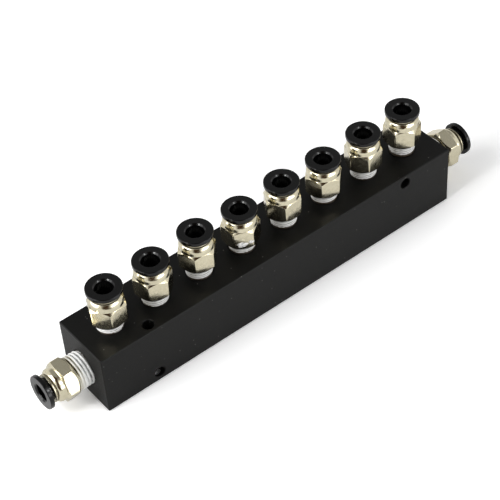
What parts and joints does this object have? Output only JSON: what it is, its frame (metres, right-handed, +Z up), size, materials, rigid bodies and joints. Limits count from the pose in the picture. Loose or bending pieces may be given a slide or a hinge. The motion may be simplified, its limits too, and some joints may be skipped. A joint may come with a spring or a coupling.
{
  "type": "air manifold",
  "caption": "Square black metal air manifold bar with a row of push-in tube fittings along its top face and a fitting at each end.",
  "frame": {"origin": "centre of the bar's underside", "axes": "+X along the bar from the left inlet to the right inlet, +Y from front to back across the bar, +Z up out of the outlets"},
  "size_m": [0.1934, 0.025, 0.044],
  "materials": {
    "black_anodised": "satin black anodised",
    "nickel_plate": "nickel plated, turned and lightly brushed",
    "black_acetal": "satin moulded",
    "spring_steel": "bright rolled",
    "seal_rubber": "matt",
    "thread_sealant": "matt white coating"
  },
  "bodies": {
    "manifold": {"manifold_block": "black_anodised", "outlet_1_body": "nickel_plate", "outlet_1_retainer": "nickel_plate", "outlet_1_grab_ring": "spring_steel", "outlet_1_seal": "seal_rubber", "outlet_2_body": "nickel_plate", "outlet_2_retainer": "nickel_plate", "outlet_2_grab_ring": "spring_steel", "outlet_2_seal": "seal_rubber", "outlet_3_body": "nickel_plate", "outlet_3_retainer": "nickel_plate", "outlet_3_grab_ring": "spring_steel", "outlet_3_seal": "seal_rubber", "outlet_4_body": "nickel_plate", "outlet_4_retainer": "nickel_plate", "outlet_4_grab_ring": "spring_steel", "outlet_4_seal": "seal_rubber", "outlet_5_body": "nickel_plate", "outlet_5_retainer": "nickel_plate", "outlet_5_grab_ring": "spring_steel", "outlet_5_seal": "seal_rubber", "outlet_6_body": "nickel_plate", "outlet_6_retainer": "nickel_plate", "outlet_6_grab_ring": "spring_steel", "outlet_6_seal": "seal_rubber", "outlet_7_body": "nickel_plate", "outlet_7_retainer": "nickel_plate", "outlet_7_grab_ring": "spring_steel", "outlet_7_seal": "seal_rubber", "outlet_8_body": "nickel_plate", "outlet_8_retainer": "nickel_plate", "outlet_8_grab_ring": "spring_steel", "outlet_8_seal": "seal_rubber", "inlet_left_body": "nickel_plate", "inlet_left_retainer": "nickel_plate", "inlet_left_grab_ring": "spring_steel", "inlet_left_seal": "seal_rubber", "inlet_right_body": "nickel_plate", "inlet_right_retainer": "nickel_plate", "inlet_right_grab_ring": "spring_steel", "inlet_right_seal": "seal_rubber", "outlet_thread_sealant": "thread_sealant", "inlet_thread_sealant": "thread_sealant"},
    "outlet_1_button": {"outlet_1_release_ring": "black_acetal"},
    "outlet_2_button": {"outlet_2_release_ring": "black_acetal"},
    "outlet_3_button": {"outlet_3_release_ring": "black_acetal"},
    "outlet_4_button": {"outlet_4_release_ring": "black_acetal"},
    "outlet_5_button": {"outlet_5_release_ring": "black_acetal"},
    "outlet_6_button": {"outlet_6_release_ring": "black_acetal"},
    "outlet_7_button": {"outlet_7_release_ring": "black_acetal"},
    "outlet_8_button": {"outlet_8_release_ring": "black_acetal"},
    "inlet_left_button": {"inlet_left_release_ring": "black_acetal"},
    "inlet_right_button": {"inlet_right_release_ring": "black_acetal"}
  },
  "joints": [
    {"name": "outlet_1_push", "type": "slide", "parent": "manifold", "child": "outlet_1_button", "axis": [0, 0, -1], "range_m": [-0.00005, 0.00085], "stiffness_N_per_m": 800},
    {"name": "outlet_2_push", "type": "slide", "parent": "manifold", "child": "outlet_2_button", "axis": [0, 0, -1], "range_m": [-0.0006, 0.0003], "stiffness_N_per_m": 800},
    {"name": "outlet_3_push", "type": "slide", "parent": "manifold", "child": "outlet_3_button", "axis": [0, 0, -1], "range_m": [0, 0.0009], "stiffness_N_per_m": 800},
    {"name": "outlet_4_push", "type": "slide", "parent": "manifold", "child": "outlet_4_button", "axis": [0, 0, -1], "range_m": [-0.0005, 0.0004], "stiffness_N_per_m": 800},
    {"name": "outlet_5_push", "type": "slide", "parent": "manifold", "child": "outlet_5_button", "axis": [0, 0, -1], "range_m": [-0.0004, 0.0005], "stiffness_N_per_m": 800},
    {"name": "outlet_6_push", "type": "slide", "parent": "manifold", "child": "outlet_6_button", "axis": [0, 0, -1], "range_m": [-0.0005, 0.0004], "stiffness_N_per_m": 800},
    {"name": "outlet_7_push", "type": "slide", "parent": "manifold", "child": "outlet_7_button", "axis": [0, 0, -1], "range_m": [-0.0002, 0.0007], "stiffness_N_per_m": 800},
    {"name": "outlet_8_push", "type": "slide", "parent": "manifold", "child": "outlet_8_button", "axis": [0, 0, -1], "range_m": [-0.0003, 0.0006], "stiffness_N_per_m": 800},
    {"name": "inlet_left_push", "type": "slide", "parent": "manifold", "child": "inlet_left_button", "axis": [1, 0, 0], "range_m": [0, 0.0013], "stiffness_N_per_m": 800},
    {"name": "inlet_right_push", "type": "slide", "parent": "manifold", "child": "inlet_right_button", "axis": [-1, 0, 0], "range_m": [0, 0.0013], "stiffness_N_per_m": 800}
  ]
}
